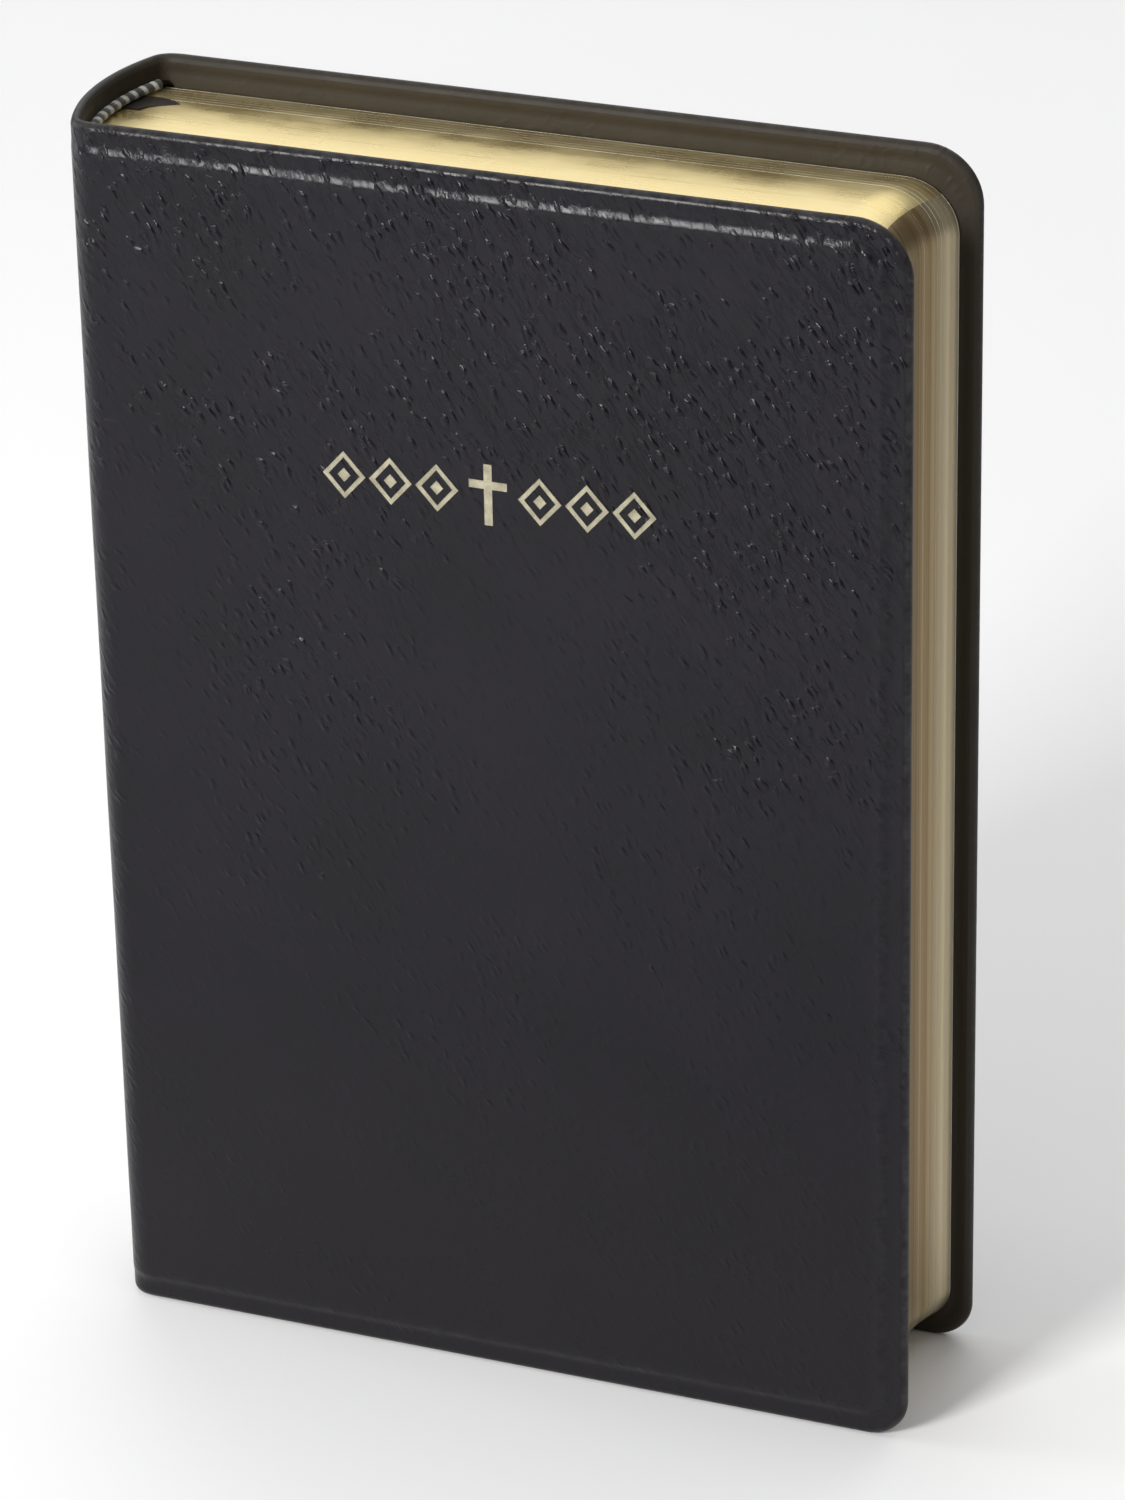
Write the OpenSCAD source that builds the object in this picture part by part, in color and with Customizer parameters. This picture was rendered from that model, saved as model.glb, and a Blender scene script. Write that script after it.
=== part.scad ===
// A closed, leather-bound Bible standing on its tail.
// X runs from the spine to the fore-edge, Y from the front cover to the back cover, Z from tail to head.
// The origin is the middle of the book's footprint.

/* [Cover] */
// Overall width from the rounded spine to the fore-edge of the covers
cover_w = 145; // [120:1:170]
// Height of the covers
cover_h = 215; // [175:1:240]
// Overall thickness of the closed book
book_t = 37; // [36:1:44]
// Thickness of the covering leather
leather_t = 0.9; // [0.7:0.1:1.1]
// Thickness of the leather where it is pared and turned in
turn_in_t = 0.6; // [0.4:0.1:0.8]
// Thickness of the card boards
board_t = 1.2; // [1.0:0.1:1.6]
// Width of the soft leather hem around the boards
hem_w = 4.3; // [3:0.1:6]
// How far the hem lies below the panel that the board raises
hem_drop = 0.45; // [0.2:0.05:0.6]
// Radius of the covers' rounded corners at the head
corner_r = 9.5; // [7:0.5:12]
// Radius of the covers' rounded corners at the tail
tail_corner_r = 7; // [6:0.5:12]
// Width of the bare leather hinge beside each board
hinge_w = 7; // [6:0.5:9]
// Width of the turned-in leather on the inside of each cover
turn_in_w = 14; // [12:1:18]

/* [Spine] */
// How far the rounded spine stands out past the joints
spine_bulge = 4.5; // [4:0.5:5]
// Thickness of the spine inlay card
inlay_t = 0.4; // [0.3:0.1:0.5]
// Free space of the hollow back, between the inlay and the lined spine
hollow_t = 0.2; // [0.15:0.05:0.3]
// Thickness of the paper lining and of the mull cloth
lining_t = 0.25; // [0.2:0.05:0.3]
// Room for the sewing thread on the back of the sections
thread_room = 0.3; // [0.25:0.05:0.4]
// Number of sewing stations along the spine
stations = 6; // [4:1:8]
// Radius of the headband's bead
bead_r = 0.8; // [0.6:0.1:1]

/* [Text block] */
// Cover left uncovered beyond the leaves at the head
head_square = 5.4; // [4:0.1:7]
// Cover left uncovered beyond the leaves at the tail
tail_square = 3.6; // [3:0.1:5]
// Cover left uncovered beyond the leaves at the fore-edge
fore_square = 3.5; // [3:0.1:5]
// Radius of the leaves' rounded corners at the head
leaf_corner_r = 9; // [6:0.5:12]
// Radius of the leaves' rounded corners at the tail
leaf_tail_corner_r = 6.5; // [5:0.5:12]
// Thickness of one sewn section
section_t = 1.0; // [0.9:0.05:1.1]
// Air between neighbouring sections
section_gap = 0.04; // [0.03:0.01:0.06]
// Number of sections that stay together in the middle of the book
middle_count = 20; // [16:2:20]
// Thickness of the endpaper
endpaper_t = 0.2; // [0.15:0.05:0.25]

/* [Ribbon marker] */
// Width of the ribbon
ribbon_w = 6; // [4:0.5:8]
// Thickness of the ribbon
ribbon_t = 0.25; // [0.2:0.05:0.3]
// Number of middle sections behind the ribbon
ribbon_behind = 3; // [3:1:10]
// How far in from the spine the ribbon slips between the leaves
ribbon_inset = 5; // [4:0.5:8]

/* [Foil ornament] */
// Height of the ornament's middle above the tail
ornament_z = 161; // [100:1:165]
// Height of the small cross in the middle
cross_h = 10.5; // [8:0.5:12]
// Number of lozenges on each side of the cross
lozenges = 3; // [2:1:4]
// Pitch of the lozenges
lozenge_pitch = 8; // [7:0.5:9]
// Width of the foil lines
foil_line = 0.7; // [0.5:0.1:0.9]

/* [Hidden] */
$fn = 96;
eps = 0.01;
clear = 0.1;
half_t = book_t / 2;
open_max = 180;
glue_t = 0.02;

// Share of a cover's opening that its flyleaf and its first five sections follow
fan = [0.75, 0.6, 0.45, 0.3, 0.2, 0.1];
moving = len(fan) - 1;

// Planes of a cover, counted on the front: outside, hem, board and inside faces
board_out_y = -half_t + leather_t;
board_in_y = board_out_y + board_t;
cover_in_y = board_in_y + turn_in_t;
paste_in_y = cover_in_y + endpaper_t;
flyleaf_y = paste_in_y + clear;
block_y = flyleaf_y + endpaper_t + clear;

// Plan positions: joint between spine and covers, fore-edge, and the line the leaves turn on
joint_x = -cover_w / 2 + spine_bulge;
fore_x = cover_w / 2;
turn_x = joint_x + hinge_w;

// The rounded spine is an arc; every layer inside it is concentric
spine_r = (half_t * half_t + spine_bulge * spine_bulge) / (2 * spine_bulge);
arc_x = joint_x - spine_bulge + spine_r;
inlay_r = spine_r - leather_t;
hollow_r = inlay_r - inlay_t;
lining_r = hollow_r - hollow_t;
mull_r = lining_r - lining_t;
thread_r = mull_r - lining_t;
back_r = thread_r - thread_room;

// Heights and widths of the leaves
leaf_z0 = tail_square;
leaf_z1 = cover_h - head_square;
leaf_w = fore_x - fore_square - back_x(-block_y);
middle_y = block_y + moving * section_t;
ribbon_slit = ribbon_t + glue_t + 0.03;
middle_t = (-2 * middle_y - ribbon_slit) / middle_count;

// Spine inlay: short of the joints, a little past the leaves at tail and head
inlay_half_w = half_t - 2.2;
inlay_z0 = leaf_z0 - 0.4;
inlay_z1 = leaf_z1 + 1.2;

// Layers glued to the backs of the sections: short of the outer sections and of the leaves' ends
lining_half_w = -block_y - 0.2;
lining_margin = 1;
thread_half_w = -block_y - 0.5;

// Headband: the bead stands just above the ribbon that passes under it
band_tail = 10;
band_half_w = -block_y - 1;
bead_lift = ribbon_slit + bead_r;
bead_mid_r = thread_r + lining_t / 2 - bead_r;

// Ribbon marker: glued behind the sections, over the head, and down between two leaves
ribbon_glued = 14;
ribbon_flat = 2.5;
ribbon_end_z = leaf_z0 + 14;
ribbon_after = middle_count - ribbon_behind;
ribbon_y = middle_y + ribbon_after * middle_t + ribbon_slit / 2;

// Pastedown: its strip over the joint, and its edges inside the leaves'
paste_x = joint_x + 1.5;
paste_margin = 1;
window_r = 1;

// Foil ornament: stamped depth, foil, and the proportions of the cross and the lozenges
foil_sink = 0.15;
foil_t = 0.1;
cross_w = 0.62 * cross_h;
cross_arm_z = 0.16 * cross_h;
lozenge_w = lozenge_pitch - 0.6;
lozenge_h = 0.78 * cross_h;
lozenge_core = 0.3;

function back_x(y) = arc_x - sqrt(back_r * back_r - y * y);
function notch(outer, inner, t) =
    t * (cos(open_max * (outer - inner)) - cos(open_max * inner)) / sin(open_max * (outer - inner));
function numbered(stem, count) = [for (k = [1:count]) str(stem, k)];

// ---- Shared shapes ----

// Outline in X and Z, square at the spine side and rounded at the fore-edge, at tail and head
module leaf_outline(x0, x1, z0, z1, r_tail, r_head) {
    translate([x0, z0]) square([x1 - x0 - r_tail, z1 - z0 - r_head]);
    translate([x0, z0 + r_tail]) square([x1 - x0 - r_head, z1 - z0 - r_tail]);
    translate([x0, z0 + r_tail]) square([x1 - x0, z1 - z0 - r_tail - r_head]);
    translate([x1 - r_tail, z0 + r_tail]) circle(r_tail);
    translate([x1 - r_head, z1 - r_head]) circle(r_head);
}

// Upright plate of a 2D outline, between two planes across Y
module plate(y0, y1) {
    translate([0, y1, 0]) rotate([90, 0, 0]) linear_extrude(y1 - y0) children();
}

// Curved layer of the spine between two radii, cut to a width about y_mid and at a plane across X
module spine_layer(r0, r1, z0, z1, half_w, x_end, y_mid = 0) {
    translate([arc_x, 0, z0]) linear_extrude(z1 - z0) intersection() {
        difference() {
            circle(r1);
            circle(r0);
        }
        translate([-r1 - 1, y_mid - half_w]) square([x_end - arc_x + r1 + 1, 2 * half_w]);
    }
}

// ---- Covers ----

module panel_outline(x0) {
    leaf_outline(x0, fore_x - hem_w, hem_w, cover_h - hem_w, tail_corner_r - hem_w + 1, corner_r - hem_w + 1);
}

module window_outline(x0) {
    leaf_outline(x0, fore_x - turn_in_w, turn_in_w, cover_h - turn_in_w, window_r, window_r);
}

module cover_leather() {
    difference() {
        union() {
            plate(-half_t + hem_drop, cover_in_y)
                leaf_outline(joint_x, fore_x, 0, cover_h, tail_corner_r, corner_r);
            plate(-half_t, board_out_y + eps) panel_outline(joint_x);
        }
        plate(board_out_y, board_in_y) panel_outline(joint_x - 1);
        plate(board_in_y - eps, cover_in_y + 1) window_outline(joint_x - 1);
    }
}

module cover_board() {
    plate(board_out_y, board_in_y) panel_outline(turn_x);
}

module cover_pastedown() {
    plate(board_in_y, cover_in_y + eps) window_outline(turn_x);
    plate(cover_in_y, paste_in_y) leaf_outline(
        paste_x, fore_x - fore_square - paste_margin, leaf_z0 + paste_margin, leaf_z1 - paste_margin,
        leaf_tail_corner_r, leaf_corner_r);
}

module cover_flyleaf() {
    plate(flyleaf_y, flyleaf_y + endpaper_t) leaf_outline(
        turn_x + 1, fore_x - fore_square, leaf_z0, leaf_z1, leaf_tail_corner_r, leaf_corner_r);
}

module front_leather() {
    color([0.15, 0.145, 0.17]) difference() {
        cover_leather();
        plate(-half_t - 1, -half_t + foil_sink) ornament_outline();
    }
}

module front_board() { color([0.55, 0.5, 0.42]) cover_board(); }
module front_pastedown() { color([0.9, 0.88, 0.8]) cover_pastedown(); }
module front_flyleaf() { color([0.93, 0.91, 0.84]) cover_flyleaf(); }

module back_leather() { color([0.15, 0.145, 0.17]) mirror([0, 1, 0]) cover_leather(); }
module back_board() { color([0.55, 0.5, 0.42]) mirror([0, 1, 0]) cover_board(); }
module back_pastedown() { color([0.9, 0.88, 0.8]) mirror([0, 1, 0]) cover_pastedown(); }
module back_flyleaf() { color([0.93, 0.91, 0.84]) mirror([0, 1, 0]) cover_flyleaf(); }

// ---- Foil ornament, stamped slightly into the front leather ----

module lozenge(w, h) {
    polygon([[-w / 2, 0], [0, -h / 2], [w / 2, 0], [0, h / 2]]);
}

module ornament_outline() {
    translate([(joint_x + fore_x) / 2, ornament_z]) {
        translate([-foil_line, -cross_h / 2]) square([2 * foil_line, cross_h]);
        translate([-cross_w / 2, cross_arm_z - foil_line]) square([cross_w, 2 * foil_line]);
        for (side = [-1, 1], k = [1:lozenges]) translate([side * lozenge_pitch * (k + 0.1), 0]) {
            difference() {
                lozenge(lozenge_w, lozenge_h);
                lozenge(lozenge_w - 3 * foil_line, lozenge_h - 3 * foil_line);
            }
            lozenge(lozenge_w * lozenge_core, lozenge_h * lozenge_core);
        }
    }
}

module front_ornament() {
    color([0.72, 0.68, 0.55])
        plate(-half_t + foil_sink - foil_t, -half_t + foil_sink) ornament_outline();
}

// ---- Spine ----

module spine_leather() {
    color([0.15, 0.145, 0.17]) {
        spine_layer(inlay_r, spine_r, 0, cover_h, half_t, joint_x);
        for (z = [[0, inlay_z0], [inlay_z1, cover_h]])
            spine_layer(hollow_r - turn_in_t / 2, inlay_r + eps, z[0], z[1], half_t, joint_x);
    }
}

module spine_inlay() {
    color([0.6, 0.55, 0.45])
        spine_layer(hollow_r, inlay_r, inlay_z0, inlay_z1, inlay_half_w, joint_x - clear);
}

module spine_lining() {
    color([0.75, 0.66, 0.5]) spine_layer(
        mull_r, lining_r, leaf_z0 + lining_margin, leaf_z1 - lining_margin, lining_half_w, arc_x);
}

module mull_cloth() {
    margin = band_tail + lining_margin;
    color([0.85, 0.83, 0.75])
        spine_layer(thread_r, mull_r, leaf_z0 + margin, leaf_z1 - margin, lining_half_w, arc_x);
}

// One row of stitches across the backs of the sections at each sewing station
module sewing_thread() {
    station_pitch = (leaf_z1 - leaf_z0) / stations;
    sweep = 2 * asin(thread_half_w / thread_r);
    color([0.95, 0.94, 0.9]) for (k = [0.5:1:stations])
        translate([arc_x, 0, leaf_z0 + k * station_pitch]) rotate([0, 0, 180 - sweep / 2])
            rotate_extrude(angle = sweep) translate([back_r + thread_room / 2, 0])
                circle(thread_room / 2 - eps, $fn = 24);
}

// Band of cloth with a rolled bead; it is glued over the ends of the spine
module end_band(edge_z, out) {
    sweep = 2 * asin(band_half_w / thread_r);
    bead_z = edge_z + out * bead_lift;
    skirt_z = [edge_z - out * band_tail, bead_z + out * bead_r / 5];
    translate([arc_x, 0, 0]) rotate([0, 0, 180 - sweep / 2]) rotate_extrude(angle = sweep) {
        translate([thread_r, min(skirt_z)]) square([lining_t, max(skirt_z) - min(skirt_z)]);
        translate([bead_mid_r, bead_z]) circle(bead_r, $fn = 32);
    }
}

module headband() { color([0.8, 0.78, 0.72]) end_band(leaf_z1, 1); }
module tailband() { color([0.8, 0.78, 0.72]) end_band(leaf_z0, -1); }

module ribbon_marker() {
    spine_x = back_x(ribbon_y);
    slip_x = spine_x + ribbon_inset;
    ribbon_r = back_r + glue_t;
    ribbon_z = leaf_z1 + glue_t;
    color([0.16, 0.1, 0.06]) {
        spine_layer(ribbon_r, ribbon_r + ribbon_t, leaf_z1 - ribbon_glued, ribbon_z + ribbon_t,
            ribbon_w / 2, arc_x, ribbon_y);
        translate([0, 0, ribbon_z]) linear_extrude(ribbon_t) intersection() {
            translate([arc_x, 0]) circle(ribbon_r + ribbon_t);
            translate([spine_x, ribbon_y]) polygon([
                [-ribbon_flat, -ribbon_w / 2], [ribbon_flat, -ribbon_w / 2], [ribbon_inset + ribbon_w, 0],
                [ribbon_flat, ribbon_w / 2], [-ribbon_flat, ribbon_w / 2]
            ]);
        }
        plate(ribbon_y - ribbon_t / 2, ribbon_y + ribbon_t / 2) polygon([
            [slip_x, ribbon_z + eps], [slip_x, ribbon_end_z],
            [slip_x + ribbon_w, ribbon_end_z + ribbon_w / 2], [slip_x + ribbon_w, ribbon_z + eps]
        ]);
    }
}

// ---- Text block ----

// Sections y0 to y1; the back follows the rounded spine, so the fore-edge comes out hollow
module section_plate(y0, y1, x0) {
    plate(y0, y1) leaf_outline(
        x0, back_x(max(abs(y0), abs(y1))) + leaf_w, leaf_z0, leaf_z1, leaf_tail_corner_r, leaf_corner_r);
}

// Loose part of moving section k, which turns about its outer edge on the turning line
module moving_section(k) {
    y0 = block_y + (k - 1) * section_t;
    y1 = y0 + section_t - section_gap;
    inner = k < moving ? fan[k + 1] : 0;
    cut = notch(fan[k], inner, section_t) + clear;
    difference() {
        section_plate(y0, y1, turn_x);
        if (cut > clear) translate([0, 0, -eps]) linear_extrude(cover_h) polygon([
            [turn_x - 1, y0 - 1], [turn_x, y0 - 1], [turn_x, y0], [turn_x + cut, y1], [turn_x + cut, y1 + 1],
            [turn_x - 1, y1 + 1]
        ]);
    }
}

// The folds of the moving sections, sewn and glued to the spine
module sewn_folds() {
    for (k = [1:moving]) {
        y0 = block_y + (k - 1) * section_t;
        translate([back_x(y0), y0, leaf_z0])
            cube([turn_x - clear - back_x(y0), section_t - section_gap, leaf_z1 - leaf_z0]);
    }
}

module middle_section(k) {
    slit = k > ribbon_after ? ribbon_slit : 0;
    y0 = middle_y + (k - 1) * middle_t + slit;
    y1 = y0 + middle_t - section_gap;
    color([0.88, 0.84, 0.72]) section_plate(y0, y1, back_x(max(abs(y0), abs(y1))));
}

module front_section(k) { color([0.86, 0.8, 0.62]) moving_section(k); }
module back_section(k) { color([0.86, 0.8, 0.62]) mirror([0, 1, 0]) moving_section(k); }
module front_sewn_folds() { color([0.9, 0.87, 0.78]) sewn_folds(); }
module back_sewn_folds() { color([0.9, 0.87, 0.78]) mirror([0, 1, 0]) sewn_folds(); }

front_leather();
front_board();
front_pastedown();
front_ornament();
front_flyleaf();
back_leather();
back_board();
back_pastedown();
back_flyleaf();
spine_leather();
spine_inlay();
spine_lining();
mull_cloth();
sewing_thread();
headband();
tailband();
ribbon_marker();
front_sewn_folds();
back_sewn_folds();
for (k = [1:moving]) front_section(k);
for (k = [1:middle_count]) middle_section(k);
for (k = [1:moving]) back_section(k);
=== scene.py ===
import math

import bmesh
import bpy
import numpy as np
from mathutils import Matrix, Vector


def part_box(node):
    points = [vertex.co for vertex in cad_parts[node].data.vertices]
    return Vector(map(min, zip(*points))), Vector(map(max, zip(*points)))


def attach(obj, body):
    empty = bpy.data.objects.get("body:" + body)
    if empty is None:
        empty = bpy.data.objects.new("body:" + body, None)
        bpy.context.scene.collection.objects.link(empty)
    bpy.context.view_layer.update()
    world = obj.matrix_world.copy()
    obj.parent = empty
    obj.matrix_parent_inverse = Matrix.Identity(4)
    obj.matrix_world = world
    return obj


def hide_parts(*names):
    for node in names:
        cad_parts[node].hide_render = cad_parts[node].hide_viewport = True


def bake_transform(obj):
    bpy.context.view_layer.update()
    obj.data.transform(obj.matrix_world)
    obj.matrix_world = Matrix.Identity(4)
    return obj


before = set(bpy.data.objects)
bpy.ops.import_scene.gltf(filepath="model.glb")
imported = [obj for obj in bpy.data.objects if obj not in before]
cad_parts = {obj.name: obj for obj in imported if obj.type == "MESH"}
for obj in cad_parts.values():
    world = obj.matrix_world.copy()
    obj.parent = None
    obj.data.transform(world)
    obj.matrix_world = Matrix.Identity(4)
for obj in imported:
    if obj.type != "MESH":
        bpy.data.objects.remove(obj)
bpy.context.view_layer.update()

MM = 0.001

# ---------------------------------------------------------------- sizes taken from the frame

FRONT_LO, FRONT_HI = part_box("front_leather")
BOARD_LO, BOARD_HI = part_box("front_board")
FIRST_LO, FIRST_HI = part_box("front_section_1")
SPINE_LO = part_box("spine_leather")[0]
FOIL_LO, FOIL_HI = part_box("front_ornament")

JOINT_X = FRONT_LO.x          # where the covers turn
FORE_X = FRONT_HI.x           # fore-edge of the covers
COVER_H = FRONT_HI.z
HALF_T = -FRONT_LO.y          # half the book's thickness
COVER_T = FRONT_HI.y - FRONT_LO.y
LEATHER_T = BOARD_LO.y - FRONT_LO.y
BOARD_IN = BOARD_HI.y - FRONT_LO.y      # depth of the board's inner face below the panel
HEM_W = FORE_X - BOARD_HI.x
HEM_DROP = 0.45 * MM
HEAD_R, TAIL_R = 9.5 * MM, 7.0 * MM            # rounded corners of the covers
TURN_X = FIRST_LO.x           # where the loose leaves turn
LEAF_Z0 = FIRST_LO.z
LEAF_Z1 = FIRST_HI.z
LEAF_HEAD_R, LEAF_TAIL_R = 9.0 * MM, 6.5 * MM  # rounded corners of the leaves

# The rounded spine and the backs of the leaves lie on concentric arcs
BULGE = JOINT_X - SPINE_LO.x
SPINE_R = (HALF_T ** 2 + BULGE ** 2) / (2 * BULGE)
ARC_X = SPINE_LO.x + SPINE_R

MOVING = sum(1 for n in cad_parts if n.startswith("front_section_"))
MIDDLE = sorted((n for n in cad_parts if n.startswith("middle_section_")),
                key=lambda n: int(n.split("_")[-1]))


def back_radius():
    """Radius of the arc that the backs of the leaves lie on."""
    lo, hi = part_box(MIDDLE[0])
    return math.hypot(ARC_X - lo.x, lo.y)


BACK_R = back_radius()
LEAF_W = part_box(MIDDLE[0])[1].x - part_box(MIDDLE[0])[0].x


def back_x(y):
    """Where the backs of the leaves lie at y."""
    return ARC_X - np.sqrt(BACK_R ** 2 - np.asarray(y) ** 2)


# ---------------------------------------------------------------- small helpers

def smooth(t):
    """Eased step: 0 up to t = 0, 1 from t = 1."""
    t = np.clip(t, 0.0, 1.0)
    return t * t * (3 - 2 * t)


def step_between(value, low, high):
    """Eased step from 0 at low to 1 at high."""
    return smooth((np.asarray(value) - low) / (high - low))


def waves(u, v, seed, wavelength, count=7):
    """Soft undulation between about -1 and 1, from a few seeded plane waves."""
    rng = np.random.default_rng(seed)
    total = np.zeros(np.broadcast(u, v).shape)
    for _ in range(count):
        angle, phase = rng.uniform(0, 2 * math.pi, 2)
        k = 2 * math.pi / (wavelength * rng.uniform(0.7, 1.6))
        total = total + np.sin(k * (u * math.cos(angle) + v * math.sin(angle)) + phase)
    return total / count


def new_object(name, verts, faces, materials, uvs=None, indices=None):
    """A mesh object from vertex and face lists; uvs holds one pair per vertex."""
    mesh = bpy.data.meshes.new(name)
    mesh.from_pydata([tuple(v) for v in np.asarray(verts, float)], [], faces)
    for mat in materials:
        mesh.materials.append(mat)
    if indices is not None:
        mesh.polygons.foreach_set("material_index", np.asarray(indices, np.int32))
    mesh.polygons.foreach_set("use_smooth", [True] * len(mesh.polygons))
    if uvs is not None:
        layer = mesh.uv_layers.new(name="UVMap")
        corner = np.zeros(len(mesh.loops), np.int32)
        mesh.loops.foreach_get("vertex_index", corner)
        layer.data.foreach_set("uv", np.asarray(uvs, np.float32)[corner].ravel())
    mesh.update()
    obj = bpy.data.objects.new(name, mesh)
    bpy.context.scene.collection.objects.link(obj)
    return obj


def finish_mesh(obj, merge):
    """Merges coincident points and turns the faces outwards."""
    bm = bmesh.new()
    bm.from_mesh(obj.data)
    bmesh.ops.remove_doubles(bm, verts=bm.verts, dist=merge)
    bmesh.ops.dissolve_degenerate(bm, edges=bm.edges, dist=merge)
    bmesh.ops.recalc_face_normals(bm, faces=bm.faces)
    bm.to_mesh(obj.data)
    bm.free()
    obj.data.update()


def mark_sharp(obj, degrees):
    """Keeps the shading crisp where two faces meet at more than an angle."""
    bm = bmesh.new()
    bm.from_mesh(obj.data)
    for edge in bm.edges:
        edge.smooth = len(edge.link_faces) == 2 and edge.calc_face_angle(0) < math.radians(degrees)
    bm.to_mesh(obj.data)
    bm.free()


# ---------------------------------------------------------------- material helpers

class Shader:
    """A material under construction: call it to add a node, with constants or sockets as inputs."""

    def __init__(self, name):
        self.mat = bpy.data.materials.new(name)
        self.mat.use_nodes = True
        self.tree = self.mat.node_tree
        self.tree.nodes.clear()

    def __call__(self, kind, inputs=None, **settings):
        node = self.tree.nodes.new(kind)
        for key, value in settings.items():
            setattr(node, key, value)
        for key, value in (inputs or {}).items():
            if isinstance(value, bpy.types.NodeSocket):
                self.tree.links.new(value, node.inputs[key])
            else:
                node.inputs[key].default_value = value
        return node

    def uv(self):
        return self("ShaderNodeUVMap", uv_map="UVMap").outputs["UV"]

    def place(self):
        return self("ShaderNodeTexCoord").outputs["Object"]

    def scaled(self, vector, scale, turn=0.0):
        """Turns the pattern first, then stretches it along its own axes."""
        if turn:
            angles = (0, 0, math.radians(turn))
            vector = self("ShaderNodeMapping", {"Vector": vector, "Rotation": angles}).outputs["Vector"]
        return self("ShaderNodeMapping", {"Vector": vector, "Scale": scale}).outputs["Vector"]

    def noise(self, vector, scale, detail=4.0, rough=0.55, distortion=0.0):
        node = self("ShaderNodeTexNoise", {"Vector": vector, "Scale": scale, "Detail": detail,
                                           "Roughness": rough, "Distortion": distortion})
        return node.outputs["Fac"]

    def cells(self, vector, scale, smoothness):
        node = self("ShaderNodeTexVoronoi", {"Vector": vector, "Scale": scale}, feature="SMOOTH_F1")
        node.inputs["Smoothness"].default_value = smoothness
        return node.outputs["Distance"]

    def math(self, kind, a, b=0.0):
        node = self("ShaderNodeMath", operation=kind)
        for i, value in enumerate((a, b)):
            if isinstance(value, bpy.types.NodeSocket):
                self.tree.links.new(value, node.inputs[i])
            else:
                node.inputs[i].default_value = value
        return node.outputs[0]

    def span(self, value, low, high, to_low=0.0, to_high=1.0):
        node = self("ShaderNodeMapRange", {"Value": value, "From Min": low, "From Max": high,
                                           "To Min": to_low, "To Max": to_high})
        return node.outputs["Result"]

    def ramp(self, value, stops):
        node = self("ShaderNodeValToRGB", {"Fac": value})
        elements = node.color_ramp.elements
        while len(elements) < len(stops):
            elements.new(0.5)
        for element, (place, colour) in zip(elements, stops):
            element.position = place
            element.color = (*colour, 1.0)
        return node.outputs["Color"]

    def mix(self, factor, a, b):
        node = self("ShaderNodeMix", data_type="RGBA")
        for key, value in ((0, factor), (6, a), (7, b)):
            if isinstance(value, bpy.types.NodeSocket):
                self.tree.links.new(value, node.inputs[key])
            elif key == 0:
                node.inputs[key].default_value = value
            else:
                node.inputs[key].default_value = (*value, 1.0)
        return node.outputs[2]

    def bump(self, height, distance, strength):
        node = self("ShaderNodeBump", {"Height": height, "Distance": distance, "Strength": strength})
        return node.outputs["Normal"]

    def finish(self, **inputs):
        bsdf = self("ShaderNodeBsdfPrincipled", {k.replace("_", " "): v for k, v in inputs.items()})
        self("ShaderNodeOutputMaterial", {"Surface": bsdf.outputs["BSDF"]})
        return self.mat


# ---------------------------------------------------------------- materials

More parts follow.
